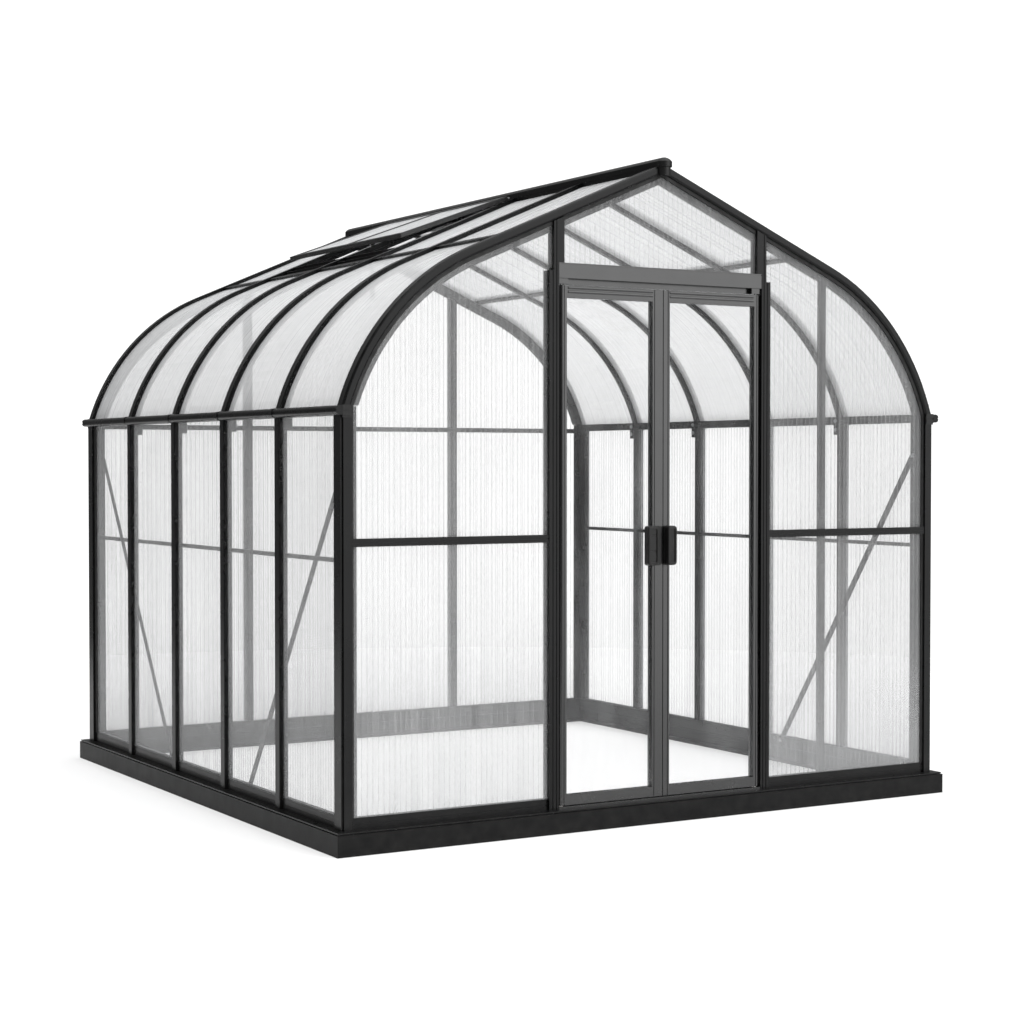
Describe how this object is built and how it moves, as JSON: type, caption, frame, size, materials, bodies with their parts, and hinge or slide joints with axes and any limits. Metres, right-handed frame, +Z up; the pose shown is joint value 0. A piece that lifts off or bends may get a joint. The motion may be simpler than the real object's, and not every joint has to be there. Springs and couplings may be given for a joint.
{
  "type": "greenhouse",
  "caption": "Walk-in garden greenhouse with a curved roof, twin-wall glazing, double hinged doors, a roof vent and a steel base.",
  "frame": {"origin": "centre of the footprint, on the ground", "axes": "+Z up; the gable with the doors faces -Y; +X is the right-hand side seen from the doors"},
  "size_m": [2.5, 2.5, 2.277],
  "materials": {
    "base_steel": "charcoal powder coat, satin, slightly coarse",
    "frame_coat": "charcoal powder coat on aluminium, satin",
    "door_coat": "charcoal powder coat on aluminium, satin",
    "black_plastic": "moulded black plastic, fine grain",
    "gasket_rubber": "black extruded rubber",
    "fluted_sheet": "twin-wall polycarbonate with upright flutes, slightly milky",
    "roof_sheet": "twin-wall polycarbonate, opal",
    "clear_sheet": "clear sheet",
    "zinc_steel": "zinc-plated steel, dull",
    "nylon": "natural nylon"
  },
  "bodies": {
    "house": {"back_arches": "frame_coat", "back_eave_rails": "frame_coat", "back_gable_panels": "fluted_sheet", "back_gable_posts": "frame_coat", "base_beam_back": "base_steel", "base_beam_front": "base_steel", "base_beam_left": "base_steel", "base_beam_right": "base_steel", "base_corner_plates": "base_steel", "brace_brackets": "base_steel", "corner_posts_back": "frame_coat", "corner_posts_front": "frame_coat", "curved_panels_left": "roof_sheet", "curved_panels_right": "roof_sheet", "door_bushes": "nylon", "door_lintel": "door_coat", "door_posts": "frame_coat", "door_threshold": "door_coat", "eave_beam_left": "frame_coat", "eave_beam_right": "frame_coat", "eave_brackets": "base_steel", "eave_corner_caps": "black_plastic", "flat_panels_left": "roof_sheet", "flat_panels_right": "roof_sheet", "frame_bolts": "zinc_steel", "front_arches": "frame_coat", "front_gable_bar": "frame_coat", "front_gable_panels": "fluted_sheet", "front_mid_rails": "frame_coat", "glazing_gaskets": "gasket_rubber", "purlins": "frame_coat", "ridge_beam": "frame_coat", "ridge_cap": "frame_coat", "ridge_end_caps": "black_plastic", "roof_ribs_left": "frame_coat", "roof_ribs_right": "frame_coat", "side_mid_rails": "frame_coat", "side_panels_left": "fluted_sheet", "side_panels_right": "fluted_sheet", "side_posts_left": "frame_coat", "side_posts_right": "frame_coat", "sill_back": "frame_coat", "sill_front": "frame_coat", "sill_left": "frame_coat", "sill_right": "frame_coat", "vent_curb": "black_plastic", "vent_hinge_rod": "zinc_steel", "wall_braces": "base_steel"},
    "left_door": {"left_door_frame": "door_coat", "left_door_panel": "clear_sheet", "left_door_pull": "black_plastic", "left_door_pins": "zinc_steel"},
    "right_door": {"right_door_frame": "door_coat", "right_door_panel": "clear_sheet", "right_door_pull": "black_plastic", "right_door_pins": "zinc_steel"},
    "vent_sash": {"vent_sash_frame": "door_coat", "vent_sash_panels": "roof_sheet", "vent_knuckles": "zinc_steel"},
    "vent_stay": {"vent_stay": "zinc_steel"}
  },
  "joints": [
    {"name": "left_door_hinge", "type": "hinge", "parent": "house", "child": "left_door", "pos_m": [-0.403, -1.204, 0.95], "axis": [0, 0, -1], "range_deg": [0, 95]},
    {"name": "right_door_hinge", "type": "hinge", "parent": "house", "child": "right_door", "pos_m": [0.403, -1.204, 0.95], "axis": [0, 0, 1], "range_deg": [0, 95]},
    {"name": "vent_hinge", "type": "hinge", "parent": "house", "child": "vent_sash", "pos_m": [-0.04543, 0.24, 2.24523], "axis": [0, 1, 0], "range_deg": [-3, 27]},
    {"name": "vent_stay_pivot", "type": "hinge", "parent": "vent_sash", "child": "vent_stay", "pos_m": [-0.36937, 0.27, 2.10047], "axis": [0, 1, 0], "range_deg": [-30, 30]}
  ]
}
